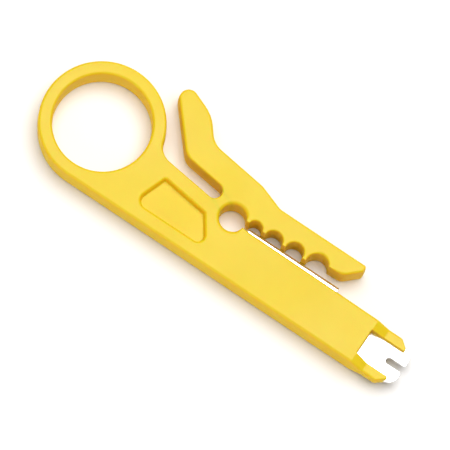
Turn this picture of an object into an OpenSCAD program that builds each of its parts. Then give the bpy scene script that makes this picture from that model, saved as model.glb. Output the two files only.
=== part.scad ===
// Cable stripper and punch down tool: a flat moulded handle with a finger ring, a sprung lever on
// a thin hinge web, a stripping blade under the lever's notched jaw, and a slotted punch down
// blade between two prongs. The handle is two half mouldings that close over both blades.
//
// The origin is the centre of the finger hole on the back face. +X runs along the handle to the
// punch down blade, +Y towards the lever, and +Z out of the front face. Millimetres.

/* [Handle] */
// Thickness of the handle and the lever, back face to front face
thick = 6.6; // [6:0.1:7.6]
// Outer diameter of the finger ring
ring_d = 27.2; // [27:0.1:27.3]
// Diameter of the finger hole
bore_d = 20.9; // [19:0.1:21.4]
// Radius of the inside corner between the ring and the slot
throat_r = 4; // [3:0.1:4.5]
// Distance of the handle's upper edge from the centre line
upper_edge = 2.15; // [2:0.05:2.4]

/* [Slot and hinge] */
// Width of the slot between the handle and the lever
slot_w = 3.1; // [3:0.1:3.5]
// Slope of the slot, falling towards the hinge
slot_angle = 7.5; // [6.5:0.5:8]
// Centre of the slot's round end, along the handle
slot_end_x = 27.5; // [27.1:0.1:27.9]
// Centre of the slot's round end, across the handle
slot_end_y = 1.15; // [0.95:0.05:1.35]
// Diameter of the round hole behind the jaw
hole_d = 5.6; // [5.4:0.1:5.8]
// Centre of the round hole, along the handle
hole_x = 33.95; // [33.7:0.05:34.2]
// Centre of the round hole, across the handle
hole_y = -1.6; // [-1.8:0.1:-1.4]
// Length of the web that bends, from the handle to the lever
web_len = 2.8; // [2.4:0.1:2.9]

/* [Jaw] */
// Gap between the points of the jaw and the cutting edge
jaw_gap = 0.2; // [0.2:0.05:0.5]
// Distance of the lever's nose from the centre of the finger hole
nose_x = 62.95; // [62.3:0.05:63.5]
// Height of the lever's back above the centre line, at the nose
back_y = 5.6; // [5.3:0.05:5.9]
// Slope of the lever's back, falling towards the nose
back_angle = 0.3; // [0:0.1:1.5]

/* [Stripping blade] */
// Thickness of the stripping blade
strip_t = 0.5; // [0.4:0.05:0.8]
// Height of the cutting edge above the handle's edge
strip_out = 1.2; // [1.1:0.05:1.4]
// Depth of the blade's root inside the handle
strip_in = 4.3; // [3.8:0.1:4.8]
// End of the stripping blade beside the round hole
strip_x0 = 38; // [37.6:0.1:38.5]
// Length of the stripping blade
strip_len = 22.4; // [21:0.1:23]
// Width of the ground bevel on the cutting edge
strip_grind = 0.5; // [0.3:0.05:0.7]

/* [Punch down blade] */
// Thickness of the punch down blade
punch_t = 1; // [0.8:0.05:1.2]
// Width of the punch down blade
punch_w = 8.4; // [8:0.1:8.8]
// Tip of the punch down blade
punch_tip = 81.05; // [80:0.05:81.5]
// Root of the punch down blade inside the handle
punch_root = 62.5; // [61:0.5:64]
// Radius of the blade's outer corners at the tip
punch_corner_r = 2.3; // [1.5:0.1:2.6]
// Width of the slot that takes the wire
wire_slot_w = 1.4; // [1.2:0.05:1.6]
// Depth of the wire slot from the tip
wire_slot_len = 4.2; // [3.5:0.1:5]
// Width of the chamfer along the tip
punch_chamfer = 0.3; // [0.1:0.05:0.4]

/* [Prongs] */
// Ends of the two prongs
prong_end = 79.2; // [78.8:0.05:79.6]
// Start of the window between the prongs, where their ramps begin
window_x = 71.15; // [70.5:0.05:72]
// Length of the ramps down to the thin ends of the prongs
ramp_len = 2.9; // [2:0.1:3.5]
// Thickness of plastic over the mid-plane at the ends of the prongs
prong_h = 1.6; // [1.2:0.05:1.9]
// Width of the window at its root
window_w0 = 5.7; // [5.4:0.1:6]
// Width of the window at the ends of the prongs
window_w1 = 6.25; // [6:0.05:6.5]
// Distance of the prongs' upper edge from the centre line
prong_upper = 2.65; // [2.5:0.05:2.9]
// Distance of the prongs' lower edge from the centre line
prong_lower = 13.65; // [13.65:0.05:13.8]

/* [Recess] */
// Depth of the recess in each face
recess_depth = 1.5; // [0.8:0.1:1.8]

/* [Pegs] */
// Radius of the pegs that join the halves
peg_r = 1; // [0.8:0.05:1.05]
// Clearance round a peg in its socket and in a blade's hole
peg_gap = 0.06; // [0.04:0.01:0.1]
// Height of a peg above the mid-plane
peg_h = 1.5; // [1.3:0.1:1.7]

/* [Hidden] */
$fn = 96;

PLASTIC = [0.98, 0.83, 0.22];
STEEL = [0.78, 0.79, 0.80];

mid = thick / 2;
over = 1;              // how far a cutting shape runs past a face
corner_steps = 12;     // straight pieces in a rounded corner
ring_r = ring_d / 2;
blade_y = -(prong_lower + prong_upper) / 2;
hole_r = hole_d / 2;
slot_r = slot_w / 2;

// The slot, its two edges and the web's waist
slot_end = [slot_end_x, slot_end_y];
hole_at = [hole_x, hole_y];
slot_dir = [cos(slot_angle), -sin(slot_angle)];
slot_up = [sin(slot_angle), cos(slot_angle)];
web_across = (hole_at - slot_end) / norm(hole_at - slot_end);
web_along = [-web_across.y, web_across.x];
web_w = norm(hole_at - slot_end) - slot_r - hole_r;
pivot = slot_end + web_across * (slot_r + web_w / 2);
web_grip = 1.4;        // how far the web's blank reaches into the slot and the hole
web_half = web_w / 2 + web_grip;

// The round throat between the ring and the slot's lower edge
throat_in = slot_up * slot_end - slot_r;
throat_h = throat_in + throat_r;
throat_at = slot_up * throat_h + slot_dir * sqrt(pow(ring_r + throat_r, 2) - pow(throat_h, 2));
throat_ring = throat_at * ring_r / (ring_r + throat_r);
throat_slot = throat_at - slot_up * throat_r;
throat_root = throat_ring * 0.9;

// The cutting edge, above the handle's edge, and the points of the jaw
cut_y = strip_out - upper_edge;
jaw_y = cut_y + jaw_gap;

// Corners of the prongs, as [x, y, radius]
prong_chamfer = 1.9;
prong_flat = 0.8;
prong_corners = [
    [prong_end - prong_chamfer, -prong_lower, 1.5],
    [prong_end, blade_y - window_w1 / 2 - prong_flat, 0.4],
    [prong_end, blade_y + window_w1 / 2 + prong_flat, 0.4],
    [prong_end - prong_chamfer, -prong_upper, 1.5]
];

// Corners of the recess, as [x, y, radius]
recess_corners = [
    [17.6, -2.45, 0.6],
    [14.75, -10.4, 1.9],
    [32.95, -10.4, 1.6],
    [28.5, -3.95, 0.6]
];

// Notches of the jaw, as [centre, radius, top]
notches = [
    [39, 1.5, 0.6],
    [43.55, 1.95, 1.05],
    [48.55, 1.95, 1.5],
    [54.05, 2.4, 2.2]
];

// Nose, back and thumb tab of the lever, as [x, y, radius]
nose_y = 0.85;
nose_in = [3.3, 3.2];  // how far the nose's lower corner is cut back
jaw_end = notches[3][0];
nose_corners = [
    [jaw_end, nose_y, 0],
    [nose_x - nose_in.x, nose_y, 2.5],
    [nose_x, nose_y + nose_in.y, 0.8],
    [nose_x, back_y, 0.7]
];
back_corners = [
    [41.1, back_y + tan(back_angle) * (nose_x - 41.1), 3],
    [35.4, 7.77, 7],
    [21.9, 9.67, 5]
];
tab_corners = [
    [18.1, 14.55, 9],
    [9.6, 17.95, 2.1],
    [9.95, 13.75, 1]
];
heel_x = 18.4;
heel_r = 4;

// Pegs, as [x, y]
strip_pegs = [[41.5, -4.5], [57, -4.5]];
punch_peg = [65.5, blade_y];
handle_pegs = concat(strip_pegs, [punch_peg, [-12.05, 0], [12.8, -9.5], [36, -9], [50, -10]]);
lever_pegs = [[13.5, 13.7], [24, 6.6], [35, 4.2], [58, 3.3]];

function unit(v) = v / norm(v);
function turn(a) = a > 180 ? a - 360 : a < -180 ? a + 360 : a;

// The arc that rounds corner p, between its neighbours a and b
function corner_arc(a, p, b, r) =
    let (u = unit(a - p), v = unit(b - p), half = acos(u * v) / 2)
    let (centre = p + unit(u + v) * r / sin(half))
    let (from = p + u * r / tan(half) - centre, to = p + v * r / tan(half) - centre)
    let (start = atan2(from.y, from.x), sweep = turn(atan2(to.y, to.x) - start))
    [for (i = [0:corner_steps]) centre + r * [cos(start + sweep * i / corner_steps),
                                              sin(start + sweep * i / corner_steps)]];

// A closed outline with each corner [x, y, radius] rounded
function flat(p) = [p[0], p[1]];
function rounded(corners) =
    let (n = len(corners))
    [for (i = [0:n - 1])
        let (p = corners[i], a = corners[(i + n - 1) % n], b = corners[(i + 1) % n])
        each p[2] == 0 ? [flat(p)] : corner_arc(flat(a), flat(p), flat(b), p[2])];

function sharp(p) = [p.x, p.y, 0];
function web_point(across, along) = pivot + web_across * across + web_along * along;

// Round hole and slot end that bound the web
module hinge_holes() {
    translate(hole_at) circle(hole_r);
    translate(slot_end) circle(slot_r);
}

// Web of plastic that fills the throat between the ring and the slot, before it is rounded
module throat() {
    polygon([throat_ring, throat_root, throat_slot - slot_up, throat_slot]);
}

// Window between the prongs
module window() {
    polygon([
        [window_x, blade_y - window_w0 / 2],
        [window_x + ramp_len, blade_y - window_w1 / 2],
        [prong_end + over, blade_y - window_w1 / 2],
        [prong_end + over, blade_y + window_w1 / 2],
        [window_x + ramp_len, blade_y + window_w1 / 2],
        [window_x, blade_y + window_w0 / 2]
    ]);
}

// Bar of the handle, from the ring to the prongs; its lower edge touches the ring
module bar() {
    polygon(rounded(concat(
        [[0, -ring_r, 0]],
        prong_corners,
        [[hole_x, -upper_edge, 0]],
        [sharp(web_point(web_half, -web_len / 2)), sharp(web_point(-web_half, -web_len / 2))],
        [sharp(slot_end - slot_up * slot_r), sharp(throat_slot), sharp(throat_root)]
    )));
}

module handle_outline() {
    difference() {
        union() {
            circle(ring_r);
            bar();
            throat();
        }
        translate(throat_at) circle(throat_r);
        circle(bore_d / 2);
        hinge_holes();
        window();
    }
}

module web_outline() {
    difference() {
        polygon([
            web_point(-web_half, -web_len / 2),
            web_point(web_half, -web_len / 2),
            web_point(web_half, web_len / 2),
            web_point(-web_half, web_len / 2)
        ]);
        hinge_holes();
    }
}

// One notch of the jaw: a round top over straight sides
module notch(x, r, top) {
    translate([x, top - r]) circle(r);
    translate([x - r, top - r - 2 * r]) square([2 * r, 2 * r]);
}

module lever_outline() {
    slot_top = slot_end + slot_up * slot_r;
    heel_y = slot_top.y + (slot_top.x - heel_x) * tan(slot_angle);
    difference() {
        polygon(rounded(concat(
            [sharp(web_point(-web_half, web_len / 2)), sharp(web_point(web_half, web_len / 2))],
            [[hole_x, jaw_y, 0], [jaw_end, jaw_y, 0]],
            nose_corners, back_corners, tab_corners,
            [[heel_x, heel_y, heel_r], sharp(slot_top)]
        )));
        hinge_holes();
        for (n = notches) notch(n[0], n[1], n[2]);
    }
}

// Stripping blade without its holes, half above and half below z = 0
module strip_blank() {
    translate([strip_x0, cut_y, 0])
        rotate([90, 0, 90])
            linear_extrude(strip_len)
                polygon([
                    [-strip_out - strip_in, -strip_t / 2],
                    [-strip_grind, -strip_t / 2],
                    [0, 0],
                    [-strip_grind, strip_t / 2],
                    [-strip_out - strip_in, strip_t / 2]
                ]);
}

module punch_outline() {
    half_w = punch_w / 2;
    slot_x = punch_tip - wire_slot_len + wire_slot_w / 2;
    flare = 0.35;
    difference() {
        polygon(rounded([
            [punch_root, blade_y - half_w, 0.8],
            [punch_tip, blade_y - half_w, punch_corner_r],
            [punch_tip, blade_y + half_w, punch_corner_r],
            [punch_root, blade_y + half_w, 0.8]
        ]));
        translate([slot_x, blade_y]) circle(wire_slot_w / 2);
        translate([slot_x, blade_y - wire_slot_w / 2]) square([wire_slot_len + over, wire_slot_w]);
        polygon([
            [punch_tip - flare, blade_y],
            [punch_tip + over, blade_y - wire_slot_w / 2 - flare - over],
            [punch_tip + over, blade_y + wire_slot_w / 2 + flare + over]
        ]);
    }
}

// What the ramps and the thin prongs lose, above the mid-plane
module ramp_cut() {
    translate([0, over, 0])
        rotate([90, 0, 0])
            linear_extrude(prong_lower + 2 * over)
                polygon([
                    [window_x, mid],
                    [window_x + ramp_len, prong_h],
                    [prong_end + over, prong_h],
                    [prong_end + over, mid + over],
                    [window_x, mid + over]
                ]);
}

// Pegs stand on the rear halves, and fit holes in the blades and sockets in the front halves
module pegs(places) {
    for (p = places) translate([p.x, p.y, -over]) cylinder(r = peg_r, h = over + peg_h);
}

module sockets(places) {
    for (p = places) translate([p.x, p.y, -over]) cylinder(r = peg_r + peg_gap, h = 2 * over + peg_h);
}

module blade_hole(p) {
    translate([p.x, p.y, -over]) cylinder(r = peg_r + peg_gap, h = 2 * over);
}

// One half of the handle, standing on the mid-plane, with half of each blade's pocket
module handle_half() {
    difference() {
        linear_extrude(mid) handle_outline();
        translate([0, 0, mid - recess_depth])
            linear_extrude(recess_depth + over) polygon(rounded(recess_corners));
        ramp_cut();
        strip_blank();
        translate([0, 0, -punch_t / 2]) linear_extrude(punch_t) punch_outline();
    }
}

module lever_half() {
    linear_extrude(mid) lever_outline();
}

module web_half() {
    linear_extrude(mid) web_outline();
}

// Lifts a front half from the mid-plane, or turns a rear half over below it
module front() {
    translate([0, 0, mid]) children();
}

module rear() {
    translate([0, 0, mid]) mirror([0, 0, 1]) children();
}

module front_handle_half() {
    color(PLASTIC)
        front() difference() {
            handle_half();
            sockets(handle_pegs);
        }
}

module rear_handle_half() {
    color(PLASTIC) {
        rear() handle_half();
        front() pegs(handle_pegs);
    }
}

module front_lever_half() {
    color(PLASTIC)
        front() difference() {
            lever_half();
            sockets(lever_pegs);
        }
}

module rear_lever_half() {
    color(PLASTIC) {
        rear() lever_half();
        front() pegs(lever_pegs);
    }
}

module front_hinge_web() {
    color(PLASTIC) front() web_half();
}

module rear_hinge_web() {
    color(PLASTIC) rear() web_half();
}

module stripping_blade() {
    color(STEEL)
        front() difference() {
            strip_blank();
            for (p = strip_pegs) blade_hole(p);
        }
}

// Slotted plate with a chamfer along its tip on the front
module punch_down_blade() {
    color(STEEL)
        front() difference() {
            translate([0, 0, -punch_t / 2]) linear_extrude(punch_t) punch_outline();
            blade_hole(punch_peg);
            translate([punch_tip, blade_y + punch_w, punch_t / 2])
                rotate([90, 0, 0])
                    linear_extrude(2 * punch_w)
                        polygon([
                            [-punch_chamfer, 0],
                            [0, -punch_chamfer],
                            [over, -punch_chamfer],
                            [over, over],
                            [-punch_chamfer, over]
                        ]);
        }
}

front_handle_half();
rear_handle_half();
front_lever_half();
rear_lever_half();
front_hinge_web();
rear_hinge_web();
stripping_blade();
punch_down_blade();
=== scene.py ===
"""Visual model of the punch down tool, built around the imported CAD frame.

The helpers work in millimetres; to_object() turns their meshes into metres.
"""

import math

import bmesh
import bpy
import numpy as np
from mathutils import Matrix, Vector
from mathutils.geometry import tessellate_polygon


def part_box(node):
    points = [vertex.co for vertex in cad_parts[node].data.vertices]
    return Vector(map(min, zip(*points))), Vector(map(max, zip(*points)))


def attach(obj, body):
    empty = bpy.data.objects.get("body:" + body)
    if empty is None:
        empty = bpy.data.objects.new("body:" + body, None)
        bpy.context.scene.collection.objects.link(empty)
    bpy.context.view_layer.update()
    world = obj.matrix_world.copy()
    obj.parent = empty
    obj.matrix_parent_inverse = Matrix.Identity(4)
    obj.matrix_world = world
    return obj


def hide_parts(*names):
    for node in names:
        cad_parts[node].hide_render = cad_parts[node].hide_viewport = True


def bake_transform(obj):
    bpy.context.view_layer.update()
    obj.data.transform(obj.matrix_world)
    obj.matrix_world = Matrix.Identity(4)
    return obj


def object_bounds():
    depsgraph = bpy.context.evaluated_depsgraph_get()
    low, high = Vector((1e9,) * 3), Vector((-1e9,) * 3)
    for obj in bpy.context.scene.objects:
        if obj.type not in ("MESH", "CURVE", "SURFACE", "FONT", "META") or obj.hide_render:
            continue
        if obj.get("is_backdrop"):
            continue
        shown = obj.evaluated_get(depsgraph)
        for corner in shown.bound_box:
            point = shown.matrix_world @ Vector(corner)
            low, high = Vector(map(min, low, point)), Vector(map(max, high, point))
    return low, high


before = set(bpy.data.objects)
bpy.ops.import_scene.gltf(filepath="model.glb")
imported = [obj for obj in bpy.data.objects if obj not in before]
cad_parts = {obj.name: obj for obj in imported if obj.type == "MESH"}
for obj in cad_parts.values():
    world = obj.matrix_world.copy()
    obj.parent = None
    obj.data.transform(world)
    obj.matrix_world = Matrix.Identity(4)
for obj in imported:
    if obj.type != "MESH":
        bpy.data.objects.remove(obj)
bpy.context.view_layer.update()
MM = 0.001

# ---------------------------------------------------------------- sizes, as in the CAD part
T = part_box("front_handle_half")[1].z / MM
MID = T / 2
RING_R, BORE_R, THROAT_R = 13.6, 10.45, 4.0
UPPER, PRONG_LOWER, PRONG_UPPER = 2.15, 13.65, 2.65
SLOT_R, SLOT_ANGLE, SLOT_END = 1.55, 7.5, np.array([27.5, 1.15])
HOLE_R, HOLE_AT = 2.8, np.array([33.95, -1.6])
WEB_LEN = 2.8
CUT_Y = -0.95
JAW_GAP = 0.2
JAW_Y = CUT_Y + JAW_GAP
NOSE_X, NOSE_Y, BACK_Y, BACK_ANGLE = 62.95, 0.85, 5.6, 0.3
BLADE_Y = -(PRONG_LOWER + PRONG_UPPER) / 2
PRONG_END, PRONG_CHAMFER, PRONG_FLAT, PRONG_H = 79.2, 1.9, 0.8, 1.6
WINDOW_X, RAMP_LEN, WINDOW_W0, WINDOW_W1 = 71.15, 2.9, 5.7, 6.25
NOTCHES = [(39, 1.5, 0.6), (43.55, 1.95, 1.05), (48.55, 1.95, 1.5), (54.05, 2.4, 2.2)]
RECESS = [(17.6, -2.45, 0.6), (14.75, -10.4, 1.9), (32.95, -10.4, 1.6), (28.5, -3.95, 0.6)]
RECESS_DEPTH = 1.5
CREASE_CUTS = [70.9, 71.0, 71.1, 71.2, 71.3, 71.4, 73.8, 73.9, 74.0, 74.1, 74.2, 74.3]
PARTING_BAND = 1.2     # height over the mid-plane that the prongs' ramps leave alone
WEB_REACH = 2.6        # furthest that a face of the web is from its middle, across it
STRIP_X0, STRIP_LEN, STRIP_T, STRIP_GRIND, STRIP_ROOT = 38.0, 22.4, 0.5, 0.5, 5.5
PUNCH_ROOT, PUNCH_TIP, PUNCH_W, PUNCH_T, PUNCH_R = 62.5, 81.05, 8.4, 1.0, 2.3
WIRE_W, WIRE_LEN, WIRE_FLARE = 1.4, 4.2, 0.35
RIM = 0.65             # radius of the moulding's soft rims
DRAFT = 0.1            # how far a wall leans in by the time it meets a rim
WALL_IN = 0.005        # how far a wall stands inside the CAD outline at the parting line
GROOVE = 0.07          # depth and half width of the groove at the parting line


def rad(degrees):
    return math.radians(degrees)


def unit(v):
    v = np.array(v, float)
    return v / np.linalg.norm(v)


SLOT_DIR = np.array([math.cos(rad(SLOT_ANGLE)), -math.sin(rad(SLOT_ANGLE))])
SLOT_UP = np.array([math.sin(rad(SLOT_ANGLE)), math.cos(rad(SLOT_ANGLE))])
ACROSS = unit(HOLE_AT - SLOT_END)
ALONG = np.array([-ACROSS[1], ACROSS[0]])
WEB_W = np.linalg.norm(HOLE_AT - SLOT_END) - SLOT_R - HOLE_R
PIVOT = SLOT_END + ACROSS * (SLOT_R + WEB_W / 2)
throat_in = SLOT_UP @ SLOT_END - SLOT_R
THROAT_AT = SLOT_UP * (throat_in + THROAT_R) + SLOT_DIR * math.sqrt(
    (RING_R + THROAT_R) ** 2 - (throat_in + THROAT_R) ** 2)


# ---------------------------------------------------------------- outlines
def arc(centre, r, start, end, step):
    """Points from angle start to angle end, in degrees, both ends included."""
    n = max(2, int(math.ceil(abs(end - start) / step)))
    angles = np.radians(np.linspace(start, end, n + 1))
    return [np.array([centre[0] + r * math.cos(a), centre[1] + r * math.sin(a)]) for a in angles]


def corner(a, p, b, r, n=8):
    """Corner p between a and b, rounded with radius r."""
    a, p, b = (np.array(q[:2], float) for q in (a, p, b))
    if r == 0:
        return [p]
    u, v = unit(a - p), unit(b - p)
    half = math.acos(np.clip(u @ v, -1, 1)) / 2
    centre = p + unit(u + v) * r / math.sin(half)
    f, t = p + u * r / math.tan(half) - centre, p + v * r / math.tan(half) - centre
    a0 = math.atan2(f[1], f[0])
    sweep = (math.atan2(t[1], t[0]) - a0 + math.pi) % (2 * math.pi) - math.pi
    n = max(4, int(round(n * abs(sweep) / rad(60))))
    return [centre + r * np.array([math.cos(a0 + sweep * i / n), math.sin(a0 + sweep * i / n)])
            for i in range(n + 1)]


def rounded(corners, first, last):
    """Open run of rounded corners, between the points first and last."""
    run = [first] + list(corners) + [last]
    out = []
    for a, p, b in zip(run, run[1:], run[2:]):
        out += corner(a, p, b, p[2])
    return out


def angle_to(centre, p):
    return math.degrees(math.atan2(p[1] - centre[1], p[0] - centre[0]))


def clean(points):
    """Drops points that repeat their neighbour."""
    out = [points[0]]
    for p in points[1:]:
        if np.linalg.norm(p - out[-1]) > 0.02:
            out.append(p)
    if np.linalg.norm(out[0] - out[-1]) <= 0.02:
        out.pop()
    return np.array(out)


def moulding_outline():
    """Whole edge of the moulding, anticlockwise: ring, handle, prongs, hole, jaw, lever, slot and throat."""
    low, high = BLADE_Y - WINDOW_W1 / 2, BLADE_Y + WINDOW_W1 / 2
    low0, high0 = BLADE_Y - WINDOW_W0 / 2, BLADE_Y + WINDOW_W0 / 2
    end = PRONG_END
    pts = arc((0, 0), RING_R, angle_to((0, 0), THROAT_AT), 270, 1.8)
    pts += rounded([(end - PRONG_CHAMFER, -PRONG_LOWER, 1.5), (end, low - PRONG_FLAT, 0.5), (end, low, 0.3),
                    (WINDOW_X + RAMP_LEN, low, 2), (WINDOW_X, low0, 0.12), (WINDOW_X, high0, 0.12),
                    (WINDOW_X + RAMP_LEN, high, 2), (end, high, 0.3), (end, high + PRONG_FLAT, 0.5),
                    (end - PRONG_CHAMFER, -PRONG_UPPER, 1.5)],
                   (0, -RING_R), (HOLE_AT[0], -UPPER))
    slope = (PRONG_UPPER - UPPER) / (end - PRONG_CHAMFER - HOLE_AT[0])
    x = HOLE_AT[0] + HOLE_R
    for _ in range(8):
        edge_y = -UPPER - slope * (x - HOLE_AT[0])
        x = HOLE_AT[0] + math.sqrt(HOLE_R ** 2 - (edge_y - HOLE_AT[1]) ** 2)
    jaw_x = HOLE_AT[0] + math.sqrt(HOLE_R ** 2 - (JAW_Y - HOLE_AT[1]) ** 2)
    pts += arc(HOLE_AT, HOLE_R, angle_to(HOLE_AT, (x, edge_y)), angle_to(HOLE_AT, (jaw_x, JAW_Y)) - 360, 3)
    for cx, r, top in NOTCHES:
        cy = top - r
        lift = math.degrees(math.asin(np.clip((JAW_Y - cy) / r, 0, 1)))
        if cy > JAW_Y:
            pts.append(np.array([cx - r, JAW_Y]))
        stop = lift
        if (cx, r, top) == NOTCHES[-1]:
            stop = math.degrees(math.asin((NOSE_Y - cy) / r))
        pts += arc((cx, cy), r, 180 - lift, stop, 5)
        if cy > JAW_Y and stop == lift:
            pts.append(np.array([cx + r, JAW_Y]))
    slot_top = SLOT_END + SLOT_UP * SLOT_R
    heel_x, back_x = 18.4, 41.1
    back_top = BACK_Y + math.tan(rad(BACK_ANGLE)) * (NOSE_X - back_x)
    heel_y = slot_top[1] + (slot_top[0] - heel_x) * math.tan(rad(SLOT_ANGLE))
    pts += rounded([(NOSE_X - 3.3, NOSE_Y, 2.5), (NOSE_X, NOSE_Y + 3.2, 0.8), (NOSE_X, BACK_Y, 0.7),
                    (back_x, back_top, 3), (35.4, 7.77, 7), (21.9, 9.67, 5), (18.1, 14.55, 9),
                    (9.6, 17.95, 2.1), (9.95, 13.75, 1), (heel_x, heel_y, 4)],
                   pts[-1], slot_top)
    pts += arc(SLOT_END, SLOT_R, 90 - SLOT_ANGLE, -90 - SLOT_ANGLE, 5)
    pts += arc(THROAT_AT, THROAT_R, -90 - SLOT_ANGLE, angle_to((0, 0), THROAT_AT) - 180, 4)
    return clean(pts)


def split_long(points, limit=2.5):
    """Adds points along straight stretches, so rims and normals stay even."""
    out = []
    for p, q in zip(points, np.roll(points, -1, axis=0)):
        n = max(1, int(math.ceil(np.linalg.norm(q - p) / limit)))
        out += [p + (q - p) * i / n for i in range(n)]
    return np.array(out)


def outward(points):
    """Mitred normal of each point, pointing out of the plastic, which is on the left of the run."""
    before, after = points - np.roll(points, 1, axis=0), np.roll(points, -1, axis=0) - points
    before /= np.linalg.norm(before, axis=1)[:, None]
    after /= np.linalg.norm(after, axis=1)[:, None]
    n1 = np.stack([before[:, 1], -before[:, 0]], 1)
    n2 = np.stack([after[:, 1], -after[:, 0]], 1)
    n = n1 + n2
    n /= np.linalg.norm(n, axis=1)[:, None]
    return n / np.maximum((n * n1).sum(1), 0.5)[:, None]


def smooth_loop(values, passes):
    for _ in range(passes):
        values = (np.roll(values, 1) + 2 * values + np.roll(values, -1)) / 4
    return values


def turning(points):
    """How far the edge turns at each point; above zero where the plastic has a corner."""
    before, after = points - np.roll(points, 1, axis=0), np.roll(points, -1, axis=0) - points
    cross = before[:, 0] * after[:, 1] - before[:, 1] * after[:, 0]
    return np.arctan2(cross, (before * after).sum(1))


def rim_radius(points):
    """Rim radius along the edge: fine at the jaw's points and round the window, soft elsewhere."""
    x, y = points[:, 0], points[:, 1]
    r = np.full(len(points), RIM)
    r[(x > NOSE_X - 1.6) & (y > 0)] = 0.5
    r[(x > 14) & (x < SLOT_END[0] + SLOT_R) & (abs((points - SLOT_END) @ SLOT_UP) < SLOT_R + 0.1)] = 0.4
    r[np.linalg.norm(points - HOLE_AT, axis=1) < HOLE_R + 0.1] = 0.85
    r[(x > 36.5) & (x < 57) & (y > -1.4) & (y < 2)] = 0.4
    r[x > 77] = 0.3
    r[(x > WINDOW_X - 0.3) & (y > BLADE_Y - 3.5) & (y < BLADE_Y + 3.5)] = 0.16
    r = smooth_loop(r, 5)
    for p in points[turning(points) > rad(30)]:
        r = np.minimum(r, 0.12 + 0.5 * np.linalg.norm(points - p, axis=1))
    return r


# ---------------------------------------------------------------- meshes
FILLET, WALL, FACE = 0, 1, 2
WEIGHT = {FILLET: 1.0, WALL: 40.0, FACE: 4000.0}


def ring_of(bm, points, normals, offset, z):
    """One level round an edge: its points moved out by offset, at height z."""
    offset, z = np.broadcast_to(offset, len(points)), np.broadcast_to(z, len(points))
    xy = points + normals * offset[:, None]
    return [bm.verts.new((xy[i][0], xy[i][1], z[i])) for i in range(len(points))]


def skin(bm, kind, upper, lower, what):
    """Quads between two levels, the upper one first."""
    n = len(upper)
    for i in range(n):
        j = (i + 1) % n
        f = bm.faces.new((upper[i], lower[i], lower[j], upper[j]))
        f[kind] = what


def fill(bm, kind, loops, up):
    """Flat face between an outer loop and its holes."""
    verts = [v for loop in loops for v in loop]
    for a, b, c in tessellate_polygon([[Vector(v.co) for v in loop] for loop in loops]):
        v1, v2, v3 = verts[a], verts[b], verts[c]
        z = (v2.co - v1.co).cross(v3.co - v1.co).z
        if abs(z) < 1e-9:
            continue
        f = bm.faces.new((v1, v2, v3) if (z > 0) == up else (v1, v3, v2))
        f[kind] = FACE


def wall_levels(r, top, bottom):
    """(offset, height, kind below it) from a soft rim at top down to the parting line at bottom."""
    steps = 8
    levels = []
    for k in range(steps + 1):
        a = rad(90 * k / steps)
        levels.append((-DRAFT - r * (1 - math.sin(a)), top - r * (1 - math.cos(a)), FILLET))
    levels[-1] = levels[-1][:2] + (WALL,)
    levels.append((-WALL_IN, bottom + GROOVE, FILLET))
    levels.append((-GROOVE, bottom, FACE))
    return levels


def edge_wall(bm, kind, points, r, top, bottom):
    """Rim, wall and parting line of one edge; returns its top and bottom loops."""
    normals = outward(points)
    loops, kinds = [], []
    for offset, z, what in wall_levels(r, top, bottom):
        loops.append(ring_of(bm, points, normals, offset, z))
        kinds.append(what)
    for upper, lower, what in zip(loops, loops[1:], kinds):
        skin(bm, kind, upper, lower, what)
    return loops[0], loops[-1]


def recess_wall(bm, kind, points):
    """Rim, leaning wall and rounded floor corner of the recess; returns its mouth and floor loops."""
    normals = outward(points)
    steps, r, lean, foot = 6, 0.6, 0.22, 0.26
    levels = []
    for k in range(steps + 1):
        a = rad(90 * k / steps)
        levels.append((-r * (1 - math.sin(a)) + 0.1, T - r * (1 - math.cos(a)), FILLET))
    levels[-1] = levels[-1][:2] + (WALL,)
    floor = T - RECESS_DEPTH
    for k in range(steps + 1):
        a = rad(90 * k / steps)
        levels.append((lean + foot * (1 - math.cos(a)), floor + foot * (1 - math.sin(a)), FILLET))
    loops = [ring_of(bm, points, normals, o, z) for o, z, _ in levels]
    for upper, lower, level in zip(loops, loops[1:], levels):
        skin(bm, kind, upper, lower, level[2])
    return loops[0], loops[-1]


def ramp_drop(x):
    """How far the front face has come down at x, with softened creases."""
    width, slope = 0.5, (MID - PRONG_H) / RAMP_LEN

    def area(u):
        if u < 0:
            return 0.0
        if u < RAMP_LEN:
            return slope * u * u / 2
        return slope * RAMP_LEN ** 2 / 2 + slope * RAMP_LEN * (u - RAMP_LEN)
    u = x - WINDOW_X
    return (area(u + width / 2) - area(u - width / 2)) / width


def cut(bm, at, normal):
    """Adds edges where a plane crosses the mesh."""
    geom = bm.verts[:] + bm.edges[:] + bm.faces[:]
    bmesh.ops.bisect_plane(bm, geom=geom, dist=1e-5, plane_co=at, plane_no=normal)


def recess_outline():
    """Edge of the recess, turned so that the plastic is on its left."""
    points = []
    for before, at, after in zip(RECESS[-1:] + RECESS[:-1], RECESS, RECESS[1:] + RECESS[:1]):
        points += corner(before, at, after, at[2])
    points = clean(points)
    area = sum(p[0] * q[1] - q[0] * p[1] for p, q in zip(points, np.roll(points, -1, axis=0)))
    return split_long(points[::-1] if area > 0 else points)


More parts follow.
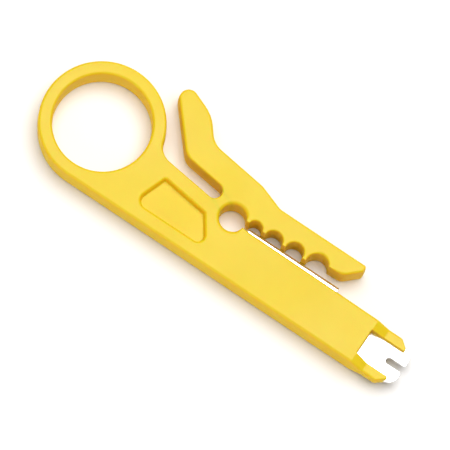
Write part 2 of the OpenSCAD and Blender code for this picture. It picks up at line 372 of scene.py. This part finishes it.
def front_moulding():
    """Front half of the whole moulding, as one closed bmesh, cut into faces where it will be parted."""
    bm = bmesh.new()
    kind = bm.faces.layers.int.new("kind")
    outline = split_long(moulding_outline())
    bore = split_long(clean(arc((0, 0), BORE_R, 360, 0, 2.4)))
    tops, bottoms = zip(edge_wall(bm, kind, outline, rim_radius(outline), T, MID),
                        edge_wall(bm, kind, bore, RIM, T, MID))
    mouth, floor = recess_wall(bm, kind, recess_outline())
    fill(bm, kind, list(tops) + [mouth], True)
    fill(bm, kind, [floor], True)
    fill(bm, kind, bottoms, False)
    # Extra edges round both creases of the ramps, so that they bend softly
    for x in CREASE_CUTS:
        cut(bm, (x, 0, 0), (1, 0, 0))
    for v in bm.verts:
        if v.co.z > MID + PARTING_BAND:
            v.co.z -= ramp_drop(v.co.x)
    for side in (-1, 1):
        at = PIVOT + ALONG * side * WEB_LEN / 2
        cut(bm, (at[0], at[1], 0), (ALONG[0], ALONG[1], 0))
    return bm


def in_web(f):
    """Whether a face lies between the web's two cuts, between the slot and the hole."""
    c = f.calc_center_median()
    d = np.array([c.x, c.y]) - PIVOT
    return abs(d @ ALONG) < WEB_LEN / 2 and abs(d @ ACROSS) < WEB_REACH


def island(bm, start):
    """Faces joined to face start."""
    seen, stack = {start}, [start]
    while stack:
        for e in stack.pop().edges:
            for f in e.link_faces:
                if f not in seen:
                    seen.add(f)
                    stack.append(f)
    return seen


def close_cuts(bm):
    """Fills the open loops that parting leaves."""
    kind = bm.faces.layers.int["kind"]
    open_edges = [e for e in bm.edges if e.is_boundary]
    made = bmesh.ops.holes_fill(bm, edges=open_edges, sides=0)
    for f in made["faces"]:
        f[kind] = FACE


def take(whole, keep):
    """Copy of the whole moulding with only the faces that keep says, closed again."""
    bm = whole.copy()
    bm.faces.ensure_lookup_table()
    chosen = keep(bm)
    bmesh.ops.delete(bm, geom=[f for f in bm.faces if f not in chosen], context="FACES")
    close_cuts(bm)
    return bm


def keep_web(bm):
    return {f for f in bm.faces if in_web(f)}


def keep_side(test):
    def keep(bm):
        web = keep_web(bm)
        bmesh.ops.delete(bm, geom=list(web), context="FACES")
        start = next(f for f in bm.faces if test(f.calc_center_median()))
        return island(bm, start)
    return keep


def soft_normals(me, kinds, limit):
    """Sets normals so that flat faces and walls stay flat and rims turn smoothly between them."""
    n = len(me.polygons)
    normals = np.zeros(n * 3)
    me.polygons.foreach_get("normal", normals)
    normals = normals.reshape(-1, 3)
    weights = np.array([WEIGHT[k] for k in kinds])
    co = np.zeros(len(me.vertices) * 3)
    me.vertices.foreach_get("co", co)
    co = co.reshape(-1, 3)
    by_edge = {}
    for p in me.polygons:
        for key in p.edge_keys:
            by_edge.setdefault(key, []).append(p.index)
    near = math.cos(rad(limit))
    joined = {}
    for (a, b), faces in by_edge.items():
        if len(faces) == 2 and normals[faces[0]] @ normals[faces[1]] > near:
            joined.setdefault(a, []).append(faces)
            joined.setdefault(b, []).append(faces)
    corners = {}
    for p in me.polygons:
        vs = list(p.vertices)
        for i, v in enumerate(vs):
            u, w = co[vs[i - 1]] - co[v], co[vs[(i + 1) % len(vs)]] - co[v]
            lu, lw = np.linalg.norm(u), np.linalg.norm(w)
            angle = math.acos(np.clip(u @ w / max(lu * lw, 1e-18), -1, 1))
            corners.setdefault(v, []).append((p.index, p.loop_indices[i], max(angle, 1e-3)))
    out = np.zeros((len(me.loops), 3))
    for v, around in corners.items():
        root = {f: f for f, _, _ in around}

        def find(f):
            while root[f] != f:
                f = root[f]
            return f
        for f, g in joined.get(v, []):
            root[find(f)] = find(g)
        total = {}
        for f, _, angle in around:
            k = find(f)
            total[k] = total.get(k, 0) + normals[f] * weights[f] * angle
        for f, loop, _ in around:
            t = total[find(f)]
            out[loop] = t / np.linalg.norm(t)
    me.polygons.foreach_set("use_smooth", [True] * n)
    me.normals_split_custom_set([tuple(x) for x in out])


def to_object(bm, name, flip=False, limit=38):
    """Object in metres from a millimetre bmesh; flip turns a front half into the rear half."""
    bm = bm.copy()
    if flip:
        for v in bm.verts:
            v.co.z = T - v.co.z
        bmesh.ops.reverse_faces(bm, faces=bm.faces[:])
    bmesh.ops.dissolve_degenerate(bm, edges=bm.edges[:], dist=1e-5)
    open_edges = sum(len(e.link_faces) != 2 for e in bm.edges)
    if open_edges:
        print("open edges in", name, open_edges)
    kind = bm.faces.layers.int["kind"]
    kinds = [f[kind] for f in bm.faces]
    for v in bm.verts:
        v.co *= MM
    me = bpy.data.meshes.new(name)
    bm.to_mesh(me)
    bm.free()
    me.update()
    soft_normals(me, kinds, limit)
    me.attributes.remove(me.attributes["kind"])
    obj = bpy.data.objects.new(name, me)
    bpy.context.scene.collection.objects.link(obj)
    return obj


# ---------------------------------------------------------------- blades
def plate(points, low, high, edge):
    """Flat plate with small rounded edges, from an anticlockwise outline."""
    bm = bmesh.new()
    kind = bm.faces.layers.int.new("kind")
    normals = outward(points)
    steps = 3
    levels = []
    for k in range(steps + 1):
        a = rad(90 * k / steps)
        levels.append((-edge * (1 - math.sin(a)), high - edge * (1 - math.cos(a)), FILLET))
    levels[-1] = levels[-1][:2] + (WALL,)
    for k in range(steps + 1):
        a = rad(90 * k / steps)
        levels.append((-edge * (1 - math.cos(a)), low + edge * (1 - math.sin(a)), FILLET))
    loops = [ring_of(bm, points, normals, o, z) for o, z, _ in levels]
    for upper, lower, level in zip(loops, loops[1:], levels):
        skin(bm, kind, upper, lower, level[2])
    fill(bm, kind, [loops[0]], True)
    fill(bm, kind, [loops[-1]], False)
    return bm


def punch_blade():
    """Slotted plate of the punch down blade, with a flared mouth to its wire slot."""
    half = PUNCH_W / 2
    root_x = PUNCH_TIP - WIRE_LEN + WIRE_W / 2
    mouth = WIRE_W / 2 + WIRE_FLARE
    run = rounded([(PUNCH_ROOT, BLADE_Y - half, 0.8), (PUNCH_TIP, BLADE_Y - half, PUNCH_R),
                   (PUNCH_TIP, BLADE_Y - mouth, 0.12), (PUNCH_TIP - WIRE_FLARE, BLADE_Y - WIRE_W / 2, 0.2)],
                  (PUNCH_ROOT, BLADE_Y), (root_x, BLADE_Y - WIRE_W / 2))
    run += arc((root_x, BLADE_Y), WIRE_W / 2, 270, 90, 12)
    run += rounded([(PUNCH_TIP - WIRE_FLARE, BLADE_Y + WIRE_W / 2, 0.2), (PUNCH_TIP, BLADE_Y + mouth, 0.12),
                    (PUNCH_TIP, BLADE_Y + half, PUNCH_R), (PUNCH_ROOT, BLADE_Y + half, 0.8)],
                   run[-1], (PUNCH_ROOT, BLADE_Y))
    return plate(split_long(clean(run)), MID - PUNCH_T / 2, MID + PUNCH_T / 2, 0.12)


def strip_blade():
    """Bar of the stripping blade: its section is swept along X, with a ground bevel on both sides."""
    bm = bmesh.new()
    kind = bm.faces.layers.int.new("kind")
    t = STRIP_T / 2
    section = [(CUT_Y - STRIP_ROOT, -t), (CUT_Y - STRIP_GRIND, -t), (CUT_Y - 0.02, -0.02), (CUT_Y, 0),
               (CUT_Y - 0.02, 0.02), (CUT_Y - STRIP_GRIND, t), (CUT_Y - STRIP_ROOT, t)]
    kinds = [WALL, WALL, FILLET, FILLET, WALL, WALL, WALL]
    stations = [(0, 0.05), (0.05, 0)] + [(STRIP_LEN * i / 14, 0) for i in range(1, 14)]
    stations += [(STRIP_LEN - 0.05, 0), (STRIP_LEN, 0.05)]
    centre = np.mean(section, axis=0)
    loops = []
    for x, inset in stations:
        loop = []
        for p in section:
            d = centre - np.array(p)
            q = np.array(p) + d / np.linalg.norm(d) * inset
            loop.append(bm.verts.new((STRIP_X0 + x, q[0], MID + q[1])))
        loops.append(loop)
    n = len(section)
    for a, b in zip(loops, loops[1:]):
        for i in range(n):
            j = (i + 1) % n
            f = bm.faces.new((a[i], a[j], b[j], b[i]))
            f[kind] = kinds[i]
    for loop, forward in ((loops[0], False), (loops[-1], True)):
        f = bm.faces.new(loop if forward else loop[::-1])
        f[kind] = FACE
    bmesh.ops.recalc_face_normals(bm, faces=bm.faces[:])
    return bm


# ---------------------------------------------------------------- materials
class Nodes:
    """Small helper to lay out a material's nodes."""

    def __init__(self, name):
        self.mat = bpy.data.materials.new(name)
        self.mat.use_nodes = True
        self.tree = self.mat.node_tree
        self.bsdf = self.tree.nodes["Principled BSDF"]
        self.where = self.tree.nodes.new("ShaderNodeTexCoord").outputs["Object"]

    def link(self, a, b):
        self.tree.links.new(a, b)

    def mapping(self, scale):
        n = self.tree.nodes.new("ShaderNodeMapping")
        n.inputs["Scale"].default_value = scale
        self.link(self.where, n.inputs["Vector"])
        return n.outputs["Vector"]

    def noise(self, scale, detail=3, rough=0.5, vector=None):
        n = self.tree.nodes.new("ShaderNodeTexNoise")
        n.inputs["Scale"].default_value = scale
        n.inputs["Detail"].default_value = detail
        n.inputs["Roughness"].default_value = rough
        self.link(vector or self.where, n.inputs["Vector"])
        return n.outputs["Fac"]

    def ramp(self, fac, stops):
        n = self.tree.nodes.new("ShaderNodeValToRGB")
        while len(n.color_ramp.elements) < len(stops):
            n.color_ramp.elements.new(0.5)
        for e, (at, colour) in zip(n.color_ramp.elements, stops):
            e.position = at
            e.color = (*colour, 1)
        self.link(fac, n.inputs["Fac"])
        return n.outputs["Color"]

    def spread(self, fac, low, high, start=0.3, end=0.7):
        n = self.tree.nodes.new("ShaderNodeMapRange")
        n.inputs["From Min"].default_value = start
        n.inputs["From Max"].default_value = end
        n.inputs["To Min"].default_value = low
        n.inputs["To Max"].default_value = high
        self.link(fac, n.inputs["Value"])
        return n.outputs["Result"]

    def bump(self, height, strength, distance, before=None):
        n = self.tree.nodes.new("ShaderNodeBump")
        n.inputs["Strength"].default_value = strength
        n.inputs["Distance"].default_value = distance
        self.link(height, n.inputs["Height"])
        if before:
            self.link(before, n.inputs["Normal"])
        return n.outputs["Normal"]

    def side_factor(self):
        """0 on faces that lie flat, 1 on the side walls; it places the walls' painted shade and their higher
        roughness.
        """
        at = self.tree.nodes.new("ShaderNodeTexCoord")
        split = self.tree.nodes.new("ShaderNodeSeparateXYZ")
        self.link(at.outputs["Normal"], split.inputs["Vector"])
        size = self.tree.nodes.new("ShaderNodeMath")
        size.operation = "ABSOLUTE"
        self.link(split.outputs["Z"], size.inputs[0])
        return self.spread(size.outputs["Value"], 1.0, 0.0, 0.4, 0.92)

    def mix_colour(self, fac, a, b):
        n = self.tree.nodes.new("ShaderNodeMix")
        n.data_type = "RGBA"
        self.link(fac, n.inputs["Factor"])
        self.link(a, n.inputs["A"])
        self.link(b, n.inputs["B"])
        return n.outputs["Result"]

    def mix_value(self, fac, a, high):
        n = self.tree.nodes.new("ShaderNodeMix")
        self.link(fac, n.inputs["Factor"])
        self.link(a, n.inputs["A"])
        n.inputs["B"].default_value = high
        return n.outputs["Result"]

    def set(self, **values):
        for key, value in values.items():
            self.bsdf.inputs[key.replace("_", " ")].default_value = value


def moulded_plastic():
    """Yellow plastic: clouded colour, fine grain, and side walls drawn rougher and deeper in colour; the
    walls' deeper orange is painted shade, standing in for the warm light that the floor and plastic bounce
    onto them.
    """
    m = Nodes("yellow_moulded_plastic")
    cloud = m.noise(90, 3, 0.55)
    face = m.ramp(cloud, [(0.3, (0.755, 0.565, 0.0030)), (0.5, (0.77, 0.58, 0.0035)),
                          (0.72, (0.785, 0.595, 0.0045))])
    # Painted shade: the side walls get a deeper, more orange colour than the flat faces, standing in for
    # warm bounced light and shade on them
    wall = m.ramp(cloud, [(0.3, (0.85, 0.540, 0.0010)), (0.72, (0.87, 0.560, 0.0015))])
    side = m.side_factor()
    m.link(m.mix_colour(side, face, wall), m.bsdf.inputs["Base Color"])
    rough = m.spread(m.noise(60, 2, 0.5), 0.38, 0.50)
    m.link(m.mix_value(side, rough, 0.66), m.bsdf.inputs["Roughness"])
    waves = m.bump(m.noise(120, 2, 0.4), 0.10, 0.0003)
    grain = m.bump(m.noise(2600, 3, 0.6), 0.22, 0.00008, waves)
    m.link(grain, m.bsdf.inputs["Normal"])
    m.set(IOR=1.5, Specular_IOR_Level=0.42, Subsurface_Weight=0.6, Subsurface_Scale=0.0008)
    m.bsdf.inputs["Subsurface Radius"].default_value = (1.0, 0.42, 0.03)
    return m.mat


def ground_steel(name, stretch, low, high):
    """Steel with fine grinding lines, drawn out by stretch; low and high are its roughness."""
    m = Nodes(name)
    lines = m.noise(1.0, 4, 0.65, m.mapping(stretch))
    m.link(m.ramp(m.noise(260, 3, 0.5), [(0.3, (0.86, 0.865, 0.87)), (0.7, (0.93, 0.93, 0.93))]),
           m.bsdf.inputs["Base Color"])
    m.link(m.spread(lines, low, high), m.bsdf.inputs["Roughness"])
    m.link(m.bump(lines, 0.10, 0.000008), m.bsdf.inputs["Normal"])
    m.set(Metallic=1.0)
    return m.mat


def floor_white():
    """Matt white paper of the floor."""
    m = Nodes("floor_white")
    m.link(m.ramp(m.noise(3, 2, 0.5), [(0.3, (0.935, 0.935, 0.94)), (0.7, (0.945, 0.945, 0.945))]),
           m.bsdf.inputs["Base Color"])
    m.set(Roughness=0.75, Specular_IOR_Level=0.15)
    return m.mat


# ---------------------------------------------------------------- pieces
plastic = moulded_plastic()
whole = front_moulding()
handle = take(whole, keep_side(lambda c: c.x < 5))
lever = take(whole, keep_side(lambda c: c.x > 40 and c.y > 3))
web = take(whole, keep_web)
web_strips = 6
for k in range(1, web_strips):
    at = PIVOT + ALONG * (k / web_strips - 0.5) * WEB_LEN
    cut(web, (at[0], at[1], 0), (ALONG[0], ALONG[1], 0))

for side, flip in (("front", False), ("rear", True)):
    for base, source in (("handle", handle), ("lever", lever), ("web", web)):
        piece = to_object(source, f"{base}_{side}", flip)
        piece.data.materials.append(plastic)
        if base == "web":
            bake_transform(piece)
            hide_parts(f"{side}_hinge_web")
        else:
            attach(piece, base)
            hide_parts(f"{side}_{base}_half")

for bm, name, node, limit, stretch, low, high in (
        (strip_blade(), "strip_blade", "stripping_blade", 20, (300, 9000, 9000), 0.22, 0.30),
        (punch_blade(), "punch_blade", "punch_down_blade", 38, (9000, 400, 9000), 0.16, 0.26)):
    piece = to_object(bm, name, limit=limit)
    piece.data.materials.append(ground_steel(f"{name}_steel", stretch, low, high))
    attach(piece, "handle")
    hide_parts(node)

# ---------------------------------------------------------------- floor, camera and light
scene = bpy.context.scene
bm = bmesh.new()
bmesh.ops.create_grid(bm, x_segments=24, y_segments=24, size=2.0)
me = bpy.data.meshes.new("floor")
bm.to_mesh(me)
bm.free()
floor = bpy.data.objects.new("floor", me)
floor.data.materials.append(floor_white())
floor.location = (0.033, 0, -0.00002)
scene.collection.objects.link(floor)
floor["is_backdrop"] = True

TARGET = Vector((33.109, -2.925, T - 4)) * MM
TILT, TURN, ROLL, DISTANCE = rad(14.8), rad(-70.4334), rad(14.5), 0.9
back = Vector((math.sin(TILT) * math.cos(TURN), math.sin(TILT) * math.sin(TURN), math.cos(TILT)))
right = (-back).cross(Vector((0, 0, 1))).normalized()
up = right.cross(-back)
right, up = (math.cos(ROLL) * right + math.sin(ROLL) * up, -math.sin(ROLL) * right + math.cos(ROLL) * up)
cam_data = bpy.data.cameras.new("camera")
cam_data.sensor_width = 36
cam_data.lens = 343.8
cam_data.clip_start = 0.01
cam_data.clip_end = 20
cam = bpy.data.objects.new("camera", cam_data)
facing = Matrix((right, up, back)).transposed().to_4x4()
cam.matrix_world = Matrix.Translation(TARGET + back * DISTANCE) @ facing
scene.collection.objects.link(cam)
scene.camera = cam


def flat_part(v):
    """Direction of v along the floor."""
    return Vector((v.x, v.y, 0)).normalized()


def softbox(name, lean_right, lean_up, distance, size, power):
    """Round area light, leaning from overhead towards the picture's right and top, in degrees."""
    way = (Vector((0, 0, 1)) + flat_part(right) * math.tan(rad(lean_right))
           + flat_part(up) * math.tan(rad(lean_up))).normalized()
    softbox_to(name, way, distance, size, power)


def softbox_to(name, way, distance, size, power, colour=(1, 1, 1)):
    """Round area light at distance from the object along way, facing it."""
    data = bpy.data.lights.new(name, "AREA")
    data.shape = "DISK"
    data.size = size
    data.energy = power
    data.color = colour
    light = bpy.data.objects.new(name, data)
    light.location = TARGET + way * distance
    light.rotation_euler = way.to_track_quat("Z", "Y").to_euler()
    scene.collection.objects.link(light)


softbox("overhead", 8, 11, 1.0, 1.05, 11.7)
fill_way = Vector((-0.15, -math.cos(rad(22)), math.sin(rad(22)))).normalized()
softbox_to("fill", fill_way, 1.1, 1.0, 3.0, (1.0, 0.92, 0.84))

world = bpy.data.worlds.new("studio")
scene.world = world
world.use_nodes = True
wt = world.node_tree
bg = wt.nodes["Background"]
bg.inputs["Color"].default_value = (1.0, 0.95, 0.91, 1)
bg.inputs["Strength"].default_value = 0.22
seen = wt.nodes.new("ShaderNodeBackground")
seen.inputs["Color"].default_value = (1, 1, 1, 1)
seen.inputs["Strength"].default_value = 0.95
path = wt.nodes.new("ShaderNodeLightPath")
mix = wt.nodes.new("ShaderNodeMixShader")
wt.links.new(path.outputs["Is Camera Ray"], mix.inputs["Fac"])
wt.links.new(bg.outputs["Background"], mix.inputs[1])
wt.links.new(seen.outputs["Background"], mix.inputs[2])
wt.links.new(mix.outputs["Shader"], wt.nodes["World Output"].inputs["Surface"])

scene.view_settings.view_transform = "Standard"
scene.view_settings.look = "None"
scene.view_settings.exposure = 0
scene.view_settings.gamma = 1

low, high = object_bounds()
